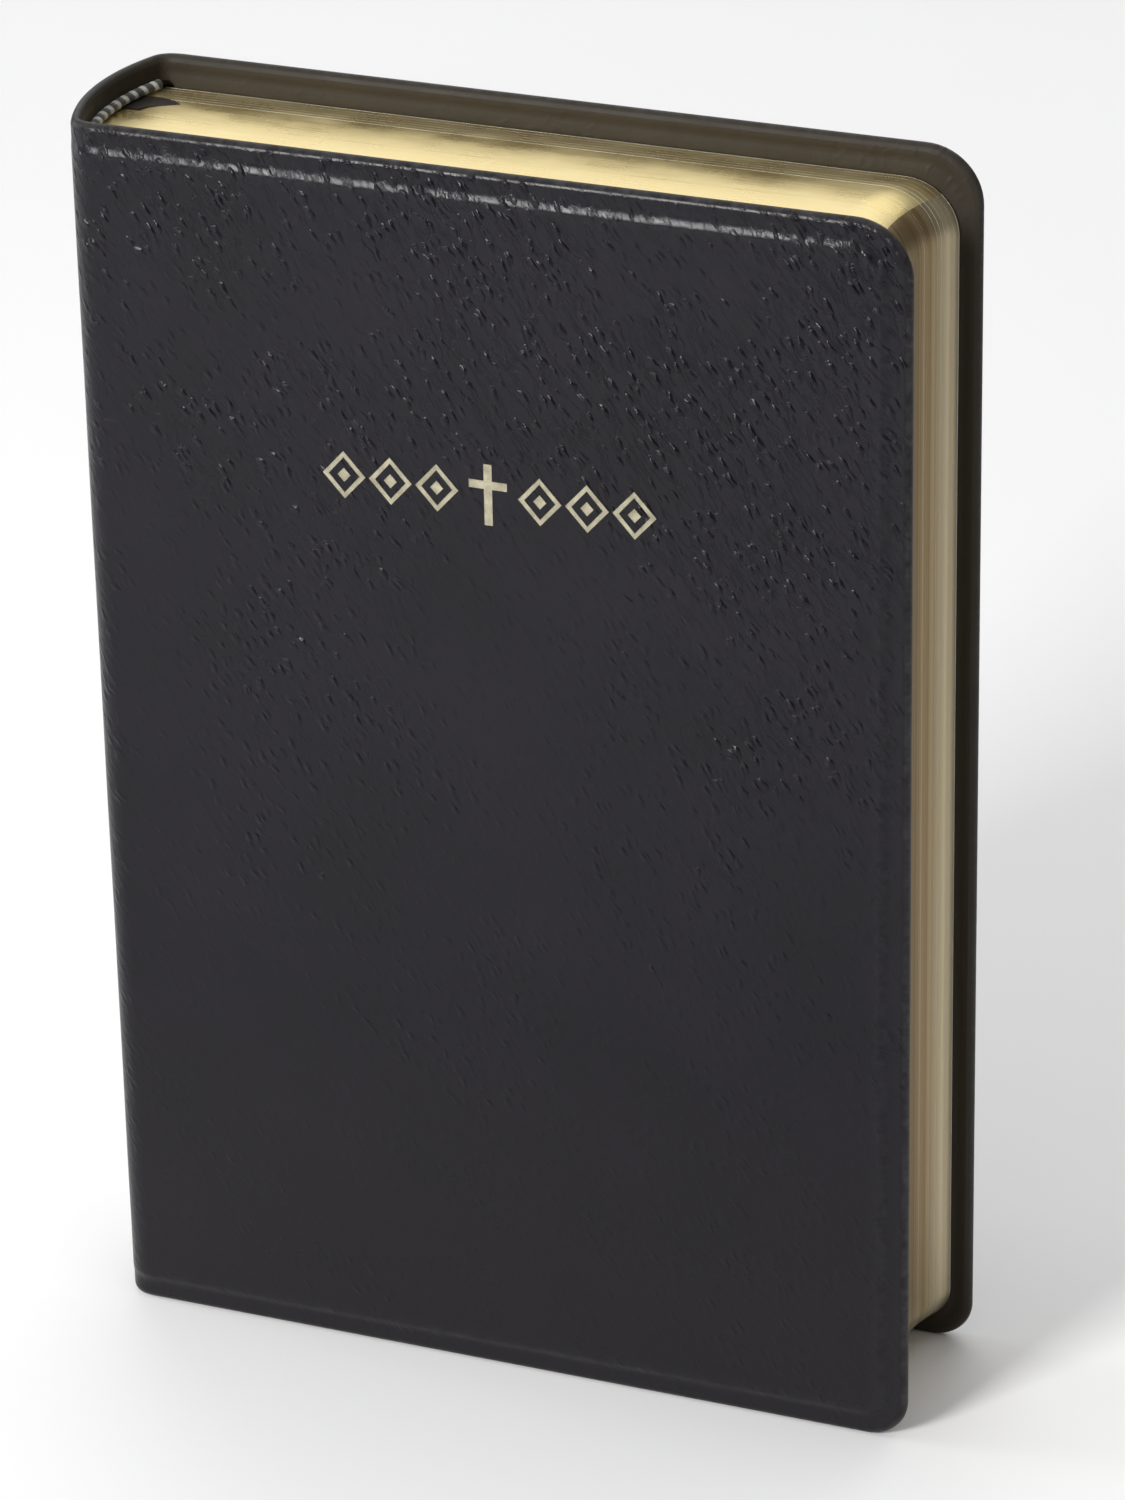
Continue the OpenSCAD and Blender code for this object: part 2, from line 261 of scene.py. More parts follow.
def leather_material(name, turn):
    """Black goatskin, faintly violet. Elongated flecks and short creases run slantwise, stronger towards the
    head and the fore-edge. The foot is paler towards the bottom: a painted reflection of the floor. The
    rubbed edges and the ridge at the board's edge are paler: partly real wear, partly a painted highlight."""
    s = Shader(name)
    uv = s.uv()
    warp = s("ShaderNodeTexNoise", {"Vector": uv, "Scale": 240.0, "Detail": 3.0})
    offset = s("ShaderNodeVectorMath", {0: warp.outputs["Color"], 1: (0.0022, 0.0022, 0.0022)},
               operation="MULTIPLY").outputs[0]
    bent = s("ShaderNodeVectorMath", {0: uv, 1: offset}, operation="ADD").outputs[0]
    pebble = s.cells(s.scaled(bent, (1.0, 1.9, 1.0), turn), 560.0, 0.55)
    pebble = s.span(pebble, 0.05, 0.65, 1.0, 0.0)
    cell = s("ShaderNodeTexVoronoi", {"Vector": s.scaled(bent, (1.0, 2.3, 1.0), turn), "Scale": 360.0})
    chance = s("ShaderNodeSeparateXYZ", {"Vector": cell.outputs["Color"]}).outputs["X"]
    dome = s.span(cell.outputs["Distance"], 0.08, 0.52, 1.0, 0.0)
    fleck = s.math("MULTIPLY", dome, s.span(chance, 0.38, 0.66))
    field = s.noise(s.scaled(bent, (1.0, 4.2, 1.0), turn), 120.0, 5.0, 0.62, 0.5)
    crease = s.span(s.math("ABSOLUTE", s.math("SUBTRACT", field, 0.5)), 0.0, 0.04, 0.0, 1.0)
    fine = s.noise(bent, 4200.0, 3.0, 0.6)
    patch = s.span(s.noise(uv, 26.0, 3.0, 0.55), 0.40, 0.62, 0.25, 1.0)
    split = s("ShaderNodeSeparateXYZ", {"Vector": uv})
    high = s.span(split.outputs["Y"], 0.25 * COVER_H, 0.95 * COVER_H, 0.25, 1.0)
    out = s.span(split.outputs["X"], JOINT_S, FORE_S, 0.75, 1.05)
    patch = s.math("MULTIPLY", patch, s.math("MULTIPLY", high, out))
    height = s.math("ADD", s.math("MULTIPLY", fleck, 1.0), s.math("MULTIPLY", crease, 0.10))
    height = s.math("ADD", s.math("MULTIPLY", height, patch), s.math("MULTIPLY", pebble, 0.06))
    height = s.math("ADD", height, s.math("MULTIPLY", fine, 0.03))
    inner = s("ShaderNodeAttribute", attribute_name="inner").outputs["Fac"]
    pleats = s.noise(s.scaled(uv, (330.0, 25.0, 1.0)), 1.0, 3.0, 0.5)
    pleats = s.math("MULTIPLY", pleats, s.math("MULTIPLY", inner, 0.45))
    height = s.math("ADD", s.math("MULTIPLY", height, s.span(inner, 0.0, 1.0, 1.0, 0.12)), pleats)
    edge = s("ShaderNodeAttribute", attribute_name="edge").outputs["Fac"]
    height = s.math("MULTIPLY", height, s.span(edge, 0.0, 0.35, 1.0, 0.45))
    normal = s.bump(height, 0.00060, 1.0)
    tone = s.noise(uv, 38.0, 5.0, 0.6)
    colour = s.ramp(tone, [(0.30, (0.0032, 0.0024, 0.0046)), (0.70, (0.0054, 0.0042, 0.0072))])
    # The rolled edges and the ridge at the board's edge turn paler: partly real rubbing, partly a painted
    # highlight.
    wear_and_highlight = s.math("MULTIPLY", edge, s.span(s.noise(uv, 520.0, 4.0, 0.7), 0.35, 0.75))
    # Paler towards the foot: a painted reflection of the floor, not a colour of the leather.
    foot = s.span(split.outputs["Y"], 0.0, 0.30 * COVER_H, 1.0, 0.0)
    colour = s.mix(s.math("MULTIPLY", foot, 0.6), colour, (0.0115, 0.0100, 0.0110))
    colour = s.mix(s.math("MULTIPLY", wear_and_highlight, 0.8), colour, (0.075, 0.074, 0.078))
    colour = s.mix(s.math("MULTIPLY", inner, 0.85), colour, (0.036, 0.029, 0.019))
    rough = s.span(s.noise(uv, 90.0, 4.0, 0.6), 0.3, 0.7, 0.25, 0.34)
    rough = s.math("ADD", rough, s.math("MULTIPLY", inner, 0.25))
    return s.finish(Base_Color=colour, Roughness=rough, Normal=normal, Specular_IOR_Level=0.20)


def gilt_material():
    """Burnished gold over the head and tail edges of the leaves: softly clouded, with hairline leaf edges."""
    s = Shader("gilt_edge")
    uv = s.uv()
    leaf_lines = s.noise(s.scaled(uv, (14.0, 9000.0, 1.0)), 1.0, 3.0, 0.65)
    cloud = s.noise(s.scaled(uv, (70.0, 150.0, 1.0)), 1.0, 3.0, 0.5)
    bundles = s.noise(s.scaled(uv, (9.0, 700.0, 1.0)), 1.0, 3.0, 0.6)
    shade = s.math("ADD", s.math("MULTIPLY", bundles, 0.25), s.math("MULTIPLY", cloud, 0.75))
    colour = s.ramp(shade, [(0.30, (0.68, 0.53, 0.22)), (0.50, (0.76, 0.62, 0.29)),
                            (0.70, (0.84, 0.71, 0.38))])
    rough = s.span(cloud, 0.3, 0.7, 0.20, 0.38)
    height = s.math("ADD", s.math("MULTIPLY", leaf_lines, 0.5), s.math("MULTIPLY", bundles, 0.5))
    normal = s.bump(height, 0.00003, 0.45)
    return s.finish(Base_Color=colour, Metallic=0.9, Roughness=rough, Normal=normal)


def fore_gilt_material():
    """The gilding of the hollow fore-edge: brownish gold in long streaks, paler towards the back cover."""
    s = Shader("gilt_fore_edge")
    uv = s.uv()
    leaf_lines = s.noise(s.scaled(uv, (10.0, 9000.0, 1.0)), 1.0, 3.0, 0.65)
    bundles = s.noise(s.scaled(uv, (5.0, 900.0, 1.0)), 1.0, 4.0, 0.6)
    cloud = s.noise(s.scaled(uv, (40.0, 260.0, 1.0)), 1.0, 4.0, 0.6)
    shade = s.math("ADD", s.math("MULTIPLY", bundles, 0.65), s.math("MULTIPLY", cloud, 0.35))
    colour = s.ramp(shade, [(0.32, (0.12, 0.078, 0.032)), (0.50, (0.27, 0.190, 0.090)),
                            (0.68, (0.46, 0.35, 0.19))])
    across = s("ShaderNodeSeparateXYZ", {"Vector": uv}).outputs["Y"]
    pale = s.span(across, 0.45 * HALF_T, 0.70 * HALF_T, 0.0, 0.75)
    colour = s.mix(pale, colour, (0.72, 0.62, 0.42))
    rough = s.span(bundles, 0.3, 0.7, 0.42, 0.26)
    height = s.math("ADD", s.math("MULTIPLY", leaf_lines, 0.5), s.math("MULTIPLY", bundles, 0.5))
    normal = s.bump(height, 0.00005, 0.6)
    return s.finish(Base_Color=colour, Metallic=0.9, Roughness=rough, Normal=normal)


def paper_material(name, colour_low, colour_high, fibre=900.0):
    """Paper of the sheets, which carry a UV map."""
    s = Shader(name)
    place = s.uv()
    fibres = s.noise(place, fibre, 6.0, 0.7, 0.8)
    cloud = s.noise(place, 35.0, 3.0, 0.5)
    tone = s.math("ADD", s.math("MULTIPLY", fibres, 0.35), s.math("MULTIPLY", cloud, 0.65))
    colour = s.ramp(tone, [(0.35, colour_low), (0.65, colour_high)])
    normal = s.bump(fibres, 0.00003, 0.5)
    rough = s.span(fibres, 0.3, 0.7, 0.62, 0.8)
    return s.finish(Base_Color=colour, Roughness=rough, Normal=normal)


def solid_paper_material(name, colour_low, colour_high, fibre):
    """Paper and card of the CAD's own pieces, which carry no UV map."""
    s = Shader(name)
    place = s.place()
    fibres = s.noise(place, fibre, 6.0, 0.7, 0.8)
    cloud = s.noise(place, 60.0, 3.0, 0.5)
    colour = s.ramp(s.math("ADD", s.math("MULTIPLY", fibres, 0.5), s.math("MULTIPLY", cloud, 0.5)),
                    [(0.35, colour_low), (0.65, colour_high)])
    normal = s.bump(fibres, 0.00005, 0.6)
    rough = s.span(fibres, 0.3, 0.7, 0.7, 0.9)
    return s.finish(Base_Color=colour, Roughness=rough, Normal=normal)


def weave_material(name, colour_low, colour_high, pitch):
    """Plain woven cloth; pitch is the distance between threads, in metres."""
    s = Shader(name)
    place = s.place()
    wave = {"Vector": place, "Scale": 1 / (2 * math.pi * pitch) * 2, "Distortion": 1.0, "Detail": 2.0,
            "Detail Scale": 3.0}
    warp = s("ShaderNodeTexWave", wave, bands_direction="Z").outputs["Fac"]
    weft = s("ShaderNodeTexWave", wave, bands_direction="Y").outputs["Fac"]
    threads = s.math("MAXIMUM", warp, weft)
    shade = s.math("ADD", s.math("MULTIPLY", threads, 0.7), s.math("MULTIPLY", s.noise(place, 400.0), 0.3))
    colour = s.ramp(shade, [(0.2, colour_low), (0.8, colour_high)])
    normal = s.bump(threads, 0.0001, 0.8)
    rough = s.span(threads, 0.0, 1.0, 0.9, 0.7)
    return s.finish(Base_Color=colour, Roughness=rough, Normal=normal, Sheen_Weight=0.3)


def thread_material(name, colour_low, colour_high):
    """Twisted thread seen close: fine slanting strands."""
    s = Shader(name)
    uv = s.uv()
    strands = s("ShaderNodeTexWave", {"Vector": s.scaled(uv, (1.0, 1.0, 1.0), turn=35), "Scale": 900.0,
                                      "Distortion": 2.0, "Detail": 2.0}).outputs["Fac"]
    colour = s.ramp(strands, [(0.1, colour_low), (0.9, colour_high)])
    normal = s.bump(strands, 0.00006, 0.7)
    rough = s.span(strands, 0.0, 1.0, 0.75, 0.55)
    return s.finish(Base_Color=colour, Roughness=rough, Normal=normal, Sheen_Weight=0.3)


def ribbon_material():
    """Dark brown satin with fine ribs."""
    s = Shader("satin_ribbon")
    uv = s.uv()
    ribs = s("ShaderNodeTexWave", {"Vector": uv, "Scale": 900.0, "Distortion": 0.6, "Detail": 1.0},
             bands_direction="Y").outputs["Fac"]
    cloud = s.noise(uv, 200.0, 3.0)
    colour = s.ramp(cloud, [(0.3, (0.008, 0.005, 0.003)), (0.7, (0.018, 0.011, 0.007))])
    normal = s.bump(ribs, 0.00004, 0.6)
    rough = s.span(ribs, 0.0, 1.0, 0.55, 0.42)
    return s.finish(Base_Color=colour, Roughness=rough, Normal=normal, Specular_IOR_Level=0.3)


def foil_material():
    """Pale gold stamping foil over grained leather: specks of the grain break through."""
    s = Shader("stamping_foil")
    place = s.place()
    grain = s.cells(place, 1500.0, 0.4)
    specks = s.noise(place, 2600.0, 4.0, 0.7)
    worn = s.span(specks, 0.60, 0.72)
    colour = s.ramp(s.noise(place, 500.0, 3.0), [(0.3, (0.26, 0.235, 0.165)), (0.7, (0.42, 0.39, 0.29))])
    colour = s.mix(s.math("MULTIPLY", worn, 0.6), colour, (0.10, 0.09, 0.08))
    normal = s.bump(s.math("ADD", grain, s.math("MULTIPLY", specks, 0.5)), 0.00005, 0.7)
    rough = s.span(specks, 0.3, 0.7, 0.26, 0.42)
    return s.finish(Base_Color=colour, Metallic=0.9, Roughness=rough, Normal=normal)


def floor_material():
    """Pale floor of the studio, with soft reflections."""
    s = Shader("studio_floor")
    place = s.place()
    tone = s.noise(place, 3.0, 3.0)
    colour = s.ramp(tone, [(0.3, (0.86, 0.86, 0.86)), (0.7, (0.88, 0.88, 0.88))])
    normal = s.bump(s.noise(place, 600.0), 0.00002, 0.3)
    rough = s.span(tone, 0.3, 0.7, 0.55, 0.6)
    return s.finish(Base_Color=colour, Roughness=rough, Normal=normal)


GILT = gilt_material()
FORE_GILT = fore_gilt_material()
LEAF = paper_material("bible_paper", (0.78, 0.75, 0.66), (0.85, 0.82, 0.74))
ENDPAPER = paper_material("endpaper", (0.74, 0.69, 0.56), (0.82, 0.78, 0.66), 700.0)
CARD = solid_paper_material("grey_card", (0.30, 0.27, 0.22), (0.42, 0.38, 0.31), 500.0)
KRAFT = solid_paper_material("kraft_paper", (0.36, 0.26, 0.15), (0.48, 0.36, 0.22), 700.0)
MULL = weave_material("mull_cloth_weave", (0.45, 0.41, 0.31), (0.80, 0.76, 0.66), 0.0008)
LINEN = weave_material("linen_thread", (0.66, 0.62, 0.52), (0.84, 0.81, 0.73), 0.0002)
WHITE_THREAD = thread_material("white_thread", (0.32, 0.31, 0.28), (0.58, 0.57, 0.52))
DARK_THREAD = thread_material("dark_thread", (0.012, 0.012, 0.010), (0.035, 0.035, 0.030))
RIBBON = ribbon_material()
FOIL = foil_material()


# ---------------------------------------------------------------- covering leather

FILLET = 3.4 * MM             # reach of the rounding where the spine turns into a cover
FILLET_PULL = 0.62            # length of the rounding's handles, as a share of its reach
ROLL_R = (COVER_T - HEM_DROP) / 2
TURN_IN_W = 14.0 * MM
SPINE_EDGE_T = 1.9 * MM       # thickness of the spine leather at head and tail, inlay and turn-in included
INLAY_T = 0.4 * MM
EASE = 3 * MM                 # the leather changes from spine to cover this far on each side of the joint
LEAST_R = 2.5 * MM            # smallest corner radius of a ring; the innermost ring is a line
SIDE_POINTS = 60              # points of a ring along the fore-edge
# Paleness of the ridge at the board's edge: partly real wear, partly a painted highlight.
RIDGE_WEAR_AND_HIGHLIGHT = 0.22


def plan_path():
    """Plan of the outside of the front half: spine centre, arc, rounded joint, flat cover."""
    joint_angle = math.asin(HALF_T / SPINE_R)
    arc = np.linspace(0, joint_angle - FILLET / SPINE_R, 60)
    arc_points = np.stack([ARC_X - SPINE_R * np.cos(arc), -SPINE_R * np.sin(arc)], 1)
    tangent = np.array([math.sin(arc[-1]), -math.cos(arc[-1])])
    p0, p3 = arc_points[-1], np.array([JOINT_X + FILLET, -HALF_T])
    p1, p2 = p0 + tangent * FILLET * FILLET_PULL, p3 - np.array([FILLET * FILLET_PULL, 0])
    t = np.linspace(0, 1, 50)[1:, None]
    bend = (1 - t) ** 3 * p0 + 3 * (1 - t) ** 2 * t * p1 + 3 * (1 - t) * t ** 2 * p2 + t ** 3 * p3
    flat = np.array([[FORE_X + 5 * MM, -HALF_T]])
    points = np.concatenate([arc_points, bend, flat])
    lengths = np.concatenate([[0], np.cumsum(np.hypot(*np.diff(points, axis=0).T))])
    return lengths, points


PATH_S, PATH_P = plan_path()
JOINT_S = PATH_S[-2] - FILLET           # flattened place of the joint
FORE_S = JOINT_S + (FORE_X - JOINT_X)   # flattened place of the fore-edge


def on_path(s, n):
    """Points of the plan path at flattened place s, n outside it; returns x and y."""
    x, y = np.interp(s, PATH_S, PATH_P[:, 0]), np.interp(s, PATH_S, PATH_P[:, 1])
    h = 0.05 * MM
    tx = np.interp(s + h, PATH_S, PATH_P[:, 0]) - np.interp(s - h, PATH_S, PATH_P[:, 0])
    ty = np.interp(s + h, PATH_S, PATH_P[:, 1]) - np.interp(s - h, PATH_S, PATH_P[:, 1])
    size = np.hypot(tx, ty)
    return x + n * ty / size, y - n * tx / size


def leg_places(inset, radius):
    """Flattened places along the head or tail, from the spine centre to the corner's start."""
    end = FORE_S - inset - radius
    return np.concatenate([
        np.linspace(0, JOINT_S - EASE, 14)[:-1],
        np.linspace(JOINT_S - EASE, JOINT_S + 9 * MM, 34)[:-1],
        np.linspace(JOINT_S + 9 * MM, JOINT_S + 20 * MM, 7)[:-1],
        np.linspace(JOINT_S + 20 * MM, end, 44),
    ])


def ring(inset):
    """One U-shaped loop at an inset from the cover's edge: flattened place and height of each point."""
    half_h = COVER_H / 2

    def corner(full_radius):
        radius = max(full_radius - inset + min(inset / HEM_W, 1.0) * MM, LEAST_R)
        return max(min(radius, half_h - inset), 0.0)
    head_r, tail_r = corner(HEAD_R), corner(TAIL_R)
    head_leg, tail_leg = leg_places(inset, head_r), leg_places(inset, tail_r)[::-1]
    turn = np.linspace(0, math.pi / 2, 15)[1:-1]
    back = turn[::-1]
    side = np.linspace(half_h - inset - head_r, inset + tail_r - half_h, SIDE_POINTS)
    reach = FORE_S - inset
    s = np.concatenate([head_leg, reach - head_r + head_r * np.sin(turn), np.full(SIDE_POINTS, reach),
                        reach - tail_r + tail_r * np.sin(back), tail_leg])
    z = np.concatenate([np.full(len(head_leg), half_h - inset),
                        half_h - inset - head_r + head_r * np.cos(turn), side,
                        inset + tail_r - half_h - tail_r * np.cos(back),
                        np.full(len(tail_leg), inset - half_h)])
    return s, z + half_h


def cover_share(s):
    """0 on the spine, 1 on the cover."""
    return step_between(s, JOINT_S - EASE, JOINT_S + EASE)


def hem_depth(share):
    """How far the hem lies below the panel: less on the spine than on the cover."""
    return HEM_DROP * (0.35 + 0.65 * share)


def outer_height(inset, s, z, seed):
    """Height of the leather's face over the plan path: sunken hem, ridge at the board's edge, soft panel."""
    share = cover_share(s)
    hem = hem_depth(share)
    rise = step_between(inset, HEM_W - 0.9 * MM, HEM_W + 0.7 * MM)
    hollow = 0.12 * MM * np.sin(np.pi * np.clip((inset - ROLL_R) / (HEM_W - 0.5 * MM - ROLL_R), 0, 1))
    welt = 0.05 * MM * np.exp(-(((inset - HEM_W - 0.8 * MM) / (1.0 * MM)) ** 2))
    inner = step_between(inset, HEM_W, HEM_W + 14 * MM)
    soft = 0.06 * MM * waves(s, z, seed, 34 * MM) * inner - 0.06 * MM
    return -hem * (1 - rise) - hollow * share + welt * share + soft * rise


# Rings over the outside, as listed: close together over the ridge, wider apart towards the middle
INSETS = np.array([1.5, 2.0, 2.6, 3.1, 3.5, 3.8, 4.05, 4.3, 4.55, 4.8, 5.1, 5.6, 6.3, 7.3, 8.6, 10.2, 12.2,
                   14.5, 17, 20, 23.5, 27, 31, 35, 39.5, 44, 49, 54, 59.5, 65, 71, 77, 83, 89, 95, 101]) * MM


def skin_rings(seed):
    """The skin's closed section, from the middle of the outside round the edge to that of the inside.
    Each ring is (places, heights, offset from the path, edge wear and painted highlight,
    share of the flesh side)."""
    half_h = COVER_H / 2
    rings = []

    def add(inset, offset, wear_and_highlight=0.0, inner=1.0):
        s, z = ring(inset)
        rings.append((s, z, offset(s, z), wear_and_highlight, inner))

    for inset in [half_h, *INSETS[::-1]]:
        # Pale band along the ridge at the board's edge: partly real wear, partly a painted highlight.
        wear_and_highlight = RIDGE_WEAR_AND_HIGHLIGHT * math.exp(-((inset - HEM_W) / MM) ** 2)
        add(inset, lambda s, z, i=inset: outer_height(i, s, z, seed), wear_and_highlight, 0.0)
    for angle in np.radians([0, 22, 45, 68, 90, 112, 135, 158, 180]):
        inset = ROLL_R * (1 - math.sin(angle))

        def offset(s, z, a=angle):
            hem = hem_depth(cover_share(s))
            edge_t = COVER_T * cover_share(s) + SPINE_EDGE_T * (1 - cover_share(s))
            return -hem - (edge_t - hem) / 2 * (1 - math.cos(a))
        # The rolled edge turns pale round its curve: partly real rubbing, partly a painted highlight.
        add(inset, offset, math.sin(angle), 0.5 - 0.5 * math.cos(angle))

    def inside(depth_cover, depth_spine):
        return lambda s, z: -depth_cover * cover_share(s) - depth_spine * (1 - cover_share(s))

    turned_in = inside(COVER_T, SPINE_EDGE_T)
    under = inside(BOARD_IN + 0.02 * MM, LEATHER_T + INLAY_T + 0.02 * MM)
    flesh = inside(LEATHER_T - 0.02 * MM, LEATHER_T - 0.02 * MM)
    crease = inside(COVER_T - 0.2 * MM, SPINE_EDGE_T - 0.1 * MM)
    for inset, offset in (
        (2.2 * MM, turned_in), (2.7 * MM, crease), (3.3 * MM, turned_in), (5.0 * MM, turned_in),
    ):
        add(inset, offset)
    for inset, offset in ((TURN_IN_W - 0.8 * MM, turned_in), (TURN_IN_W, under), (HEM_W + 2 * MM, under)):
        s, z = ring(inset)
        spine_inset = min(inset, 4.2 * MM)
        along_leg = np.isclose(z, COVER_H - inset) | np.isclose(z, inset)
        spine_z = np.where(z > half_h, COVER_H - spine_inset, spine_inset)
        share = step_between(s, JOINT_S, JOINT_S + 6 * MM)
        z = np.where(along_leg, z * share + spine_z * (1 - share), z)
        rings.append((s, z, offset(s, z), 0.0, 1.0))
    add(HEM_W - 0.05 * MM, under)
    add(HEM_W - 0.05 * MM, flesh)
    for inset in (10 * MM, 20 * MM, 45 * MM, 75 * MM, half_h):
        add(inset, flesh)
    return rings


def cover_skin(side):
    """Half of the leather: from the spine's centre line over the joint to the cover's turned-in edges."""
    way = 1 if side == "front" else -1
    rings = skin_rings(11 if side == "front" else 23)
    count = len(rings[0][0])
    verts, uvs = [], []
    for s, z, n, _, _ in rings:
        x, y = on_path(s, n)
        verts.append(np.stack([x, way * y, z], 1))
        uvs.append(np.stack([s, z], 1))
    verts, uvs = np.concatenate(verts), np.concatenate(uvs)
    faces = []
    for k in range(len(rings) - 1):
        a, b = k * count, (k + 1) * count
        faces += [(a + i, a + i + 1, b + i + 1, b + i) for i in range(count - 1)]
    centre = [k * count for k in range(len(rings))]
    faces.append(centre + [k + count - 1 for k in centre[::-1]])
    obj = new_object(f"{side}_leather_skin", verts, faces, [LEATHER[side]], uvs)
    for name, place in (("edge", 3), ("inner", 4)):
        values = np.repeat([r[place] for r in rings], count)
        obj.data.attributes.new(name, "FLOAT", "POINT").data.foreach_set("value", values.astype(np.float32))
    finish_mesh(obj, 2e-7)
    mark_sharp(obj, 50)
    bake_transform(obj)
    return obj


GRAIN_TURN = {"front": 55, "back": -50}      # slant of the grain in degrees
LEATHER = {side: leather_material(f"black_leather_{side}", turn) for side, turn in GRAIN_TURN.items()}
SKINS = {side: cover_skin(side) for side in ("front", "back")}
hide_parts("front_leather", "spine_leather")
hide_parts("back_leather")


# ---------------------------------------------------------------- leaves and sheets

CORNER_ANGLES = np.linspace(0, math.pi / 2, 16)[1:]
HEAD_GILT, FORE_EDGE, BROAD = 0, 1, 2
LEAF_PITCH = 0.2 * MM         # distance between the levels of a pile
BEND_REACH = 20 * MM          # a turning section bends over this much beside the turning line
FLYLEAF_BEND = 14 * MM
RIBBON_ROOM = 0.01 * MM       # from the ribbon's plane to the leaves on each side
ROUND_COLUMNS = 8             # columns of a rounded corner that take the fore-edge's gilding
FORE_UV_START = 0.3           # the fore-edge's UVs start here, clear of those of head and tail


def leaf_edge(x0, x1, radius, bend):
    """Outline of a leaf's head or tail, x and fall-off: close together where it bends, then the corner."""
    if bend[1] > bend[0]:
        flat = np.concatenate([[x0], np.linspace(*bend, 26), np.linspace(bend[1], x1 - radius, 24)[1:]])
    else:
        flat = np.linspace(x0, x1 - radius, 12)
    x = np.concatenate([flat, x1 - radius + radius * np.sin(CORNER_ANGLES)])
    fall = np.concatenate([np.zeros(len(flat)), radius - radius * np.cos(CORNER_ANGLES)])
    return x, fall


def leaf_stack(name, layers, bend=(0.0, 0.0), materials=(GILT, FORE_GILT, LEAF)):
    """A pile of leaves as one closed mesh. layers holds (y, x0, x1, z0, z1) of each level of the pile."""
    verts, uvs = [], []
    for y, x0, x1, z0, z1 in layers:
        for z, way, radius in ((z1, 1, LEAF_HEAD_R), (z0, -1, LEAF_TAIL_R)):
            x, fall = leaf_edge(x0, x1, radius, bend)
            columns = len(x)
            run = np.concatenate([[0], np.cumsum(np.hypot(np.diff(x), np.diff(fall)))])
            verts.append(np.stack([x, np.full(columns, y), z - way * fall], 1))
            uvs.append(np.stack([run, np.full(columns, y)], 1))
    verts, uvs = np.concatenate(verts), np.concatenate(uvs)
    faces, slots = [], []

    def at(layer, edge, column):
        return (2 * layer + edge) * columns + column

    last = len(layers) - 1
    for layer in range(last):
        for edge in (0, 1):
            faces += [(at(layer, edge, i), at(layer, edge, i + 1),
                       at(layer + 1, edge, i + 1), at(layer + 1, edge, i)) for i in range(columns - 1)]
            slots += [HEAD_GILT] * (columns - 1 - ROUND_COLUMNS) + [FORE_EDGE] * ROUND_COLUMNS
        for column, slot_index in ((0, BROAD), (columns - 1, FORE_EDGE)):
            faces.append((at(layer, 0, column), at(layer, 1, column),
                          at(layer + 1, 1, column), at(layer + 1, 0, column)))
            slots.append(slot_index)
    for layer in (0, last):
        faces += [(at(layer, 0, i), at(layer, 0, i + 1), at(layer, 1, i + 1), at(layer, 1, i))
                  for i in range(columns - 1)]
        slots += [BROAD] * (columns - 1)
    obj = new_object(name, verts, faces, materials, uvs, slots)
    finish_uvs(obj)
    finish_mesh(obj, 1e-8)
    mark_sharp(obj, 30)
    return obj


def finish_uvs(obj):
    """Fore-edge faces run along z, and the broad faces of a leaf take x and z."""
    mesh = obj.data
    layer = mesh.uv_layers["UVMap"].data
    for poly in mesh.polygons:
        if poly.material_index == BROAD:
            for k in poly.loop_indices:
                co = mesh.vertices[mesh.loops[k].vertex_index].co
                layer[k].uv = (co.x, co.z)
        elif abs(poly.normal.x) > 0.999:
            for k in poly.loop_indices:
                co = mesh.vertices[mesh.loops[k].vertex_index].co
                layer[k].uv = (FORE_UV_START + co.z, co.y)


EDGE_SLIP = np.array([0.006, 0.003, 0.003]) * MM     # how unevenly leaves lie at fore-edge, tail and head


def stack_layers(y0, y1, seed):
    """Levels of a pile from y0 to y1: it follows the rounded back, and its edges are not quite even."""
    count = max(int(round((y1 - y0) / LEAF_PITCH)), 2)
    rng = np.random.default_rng(seed)
    layers = []
    for k, y in enumerate(np.linspace(y0, y1, count + 1)):
        back = float(back_x(y))
        slip = rng.normal(0, 1, 3) * EDGE_SLIP
        layers.append((y, back, back + LEAF_W + slip[0], LEAF_Z0 + slip[1], LEAF_Z1 + slip[2]))
    return layers


def middle_leaves():
    """The sections that stay together: two piles that close over the ribbon. Returns the ribbon's plane."""
    boxes = [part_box(n) for n in MIDDLE]
    gaps = [boxes[k + 1][0].y - boxes[k][1].y for k in range(len(boxes) - 1)]
    split = int(np.argmax(gaps)) + 1
    ribbon_y = (boxes[split - 1][1].y + boxes[split][0].y) / 2
    for name, names, y0, y1 in (
        ("middle_leaves_front", MIDDLE[:split], boxes[0][0].y, ribbon_y - RIBBON_ROOM),
        ("middle_leaves_back", MIDDLE[split:], ribbon_y + RIBBON_ROOM, boxes[-1][1].y),
    ):
        obj = leaf_stack(name, stack_layers(y0, y1, len(name)))
        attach(obj, "root")
        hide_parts(*names)
    return ribbon_y


RIBBON_Y = middle_leaves()


def turning_leaves(side, k):
    """One section that turns with its cover; its sewn fold stays with the spine."""
    way = 1 if side == "front" else -1
    lo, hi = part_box(f"{side}_section_{k}")
    outer, inner = (lo.y, hi.y) if side == "front" else (hi.y, lo.y)
    layers = stack_layers(outer, inner, 100 * k + way)
    obj = leaf_stack(f"{side}_leaves_{k}", layers, (TURN_X, TURN_X + BEND_REACH))
    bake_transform(obj)
    nodes = [f"{side}_section_{k}"] + ([f"{side}_sewn_folds"] if k == 1 else [])
    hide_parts(*nodes)


